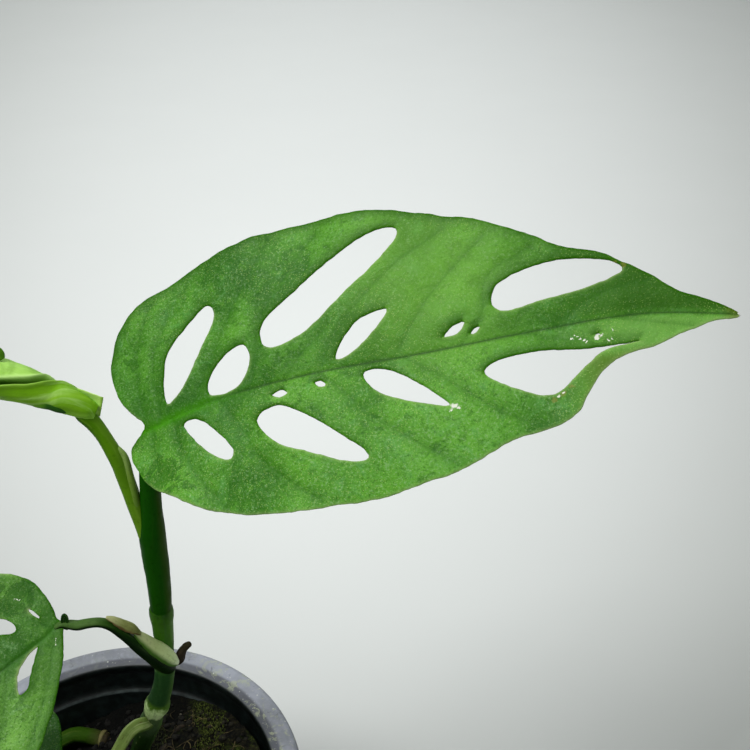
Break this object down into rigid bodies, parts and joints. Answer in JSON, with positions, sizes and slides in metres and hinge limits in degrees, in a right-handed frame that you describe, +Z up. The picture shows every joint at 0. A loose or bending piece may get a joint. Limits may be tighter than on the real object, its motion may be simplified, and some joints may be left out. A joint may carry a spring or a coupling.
{
  "type": "potted monstera vine",
  "caption": "Young climbing monstera with windowed leaves, a furled new leaf and a bare stem, growing from dark soil in a round tapered nursery pot.",
  "frame": {"origin": "centre of the pot's flat underside, on the surface the pot stands on", "axes": "+Z up; +X toward the tip of the large leaf; +Y away from the viewer"},
  "size_m": [0.2416, 0.123, 0.2856],
  "materials": {
    "nursery_pot": "dusty dark grey moulded plastic",
    "potting_soil": "moist dark potting mix with moss",
    "vine_stem": "smooth living stem",
    "large_leaf_petiole": "smooth living stem",
    "large_leaf_blade": "satin living leaf",
    "new_leaf_petiole": "smooth living stem",
    "new_leaf_blade": "soft new leaf",
    "left_leaf_petiole": "smooth living stem",
    "left_petiole_sheath": "pale papery sheath",
    "dried_sheath_flap": "dry papery sheath",
    "left_leaf_blade": "satin living leaf",
    "low_leaf_petiole": "smooth living stem",
    "low_leaf_blade": "satin living leaf",
    "aerial_root_nub": "rough root bark",
    "old_stem_stub": "old bruised stem",
    "old_stub_root": "rough root bark"
  },
  "bodies": {
    "root": {"nursery_pot": "nursery_pot", "potting_soil": "potting_soil", "vine_stem": "vine_stem", "large_leaf_petiole": "large_leaf_petiole", "large_leaf_blade": "large_leaf_blade", "new_leaf_petiole": "new_leaf_petiole", "new_leaf_blade": "new_leaf_blade", "left_leaf_petiole": "left_leaf_petiole", "left_petiole_sheath": "left_petiole_sheath", "dried_sheath_flap": "dried_sheath_flap", "left_leaf_blade": "left_leaf_blade", "low_leaf_petiole": "low_leaf_petiole", "low_leaf_blade": "low_leaf_blade", "aerial_root_nub": "aerial_root_nub", "old_stem_stub": "old_stem_stub", "old_stub_root": "old_stub_root"}
  },
  "joints": []
}
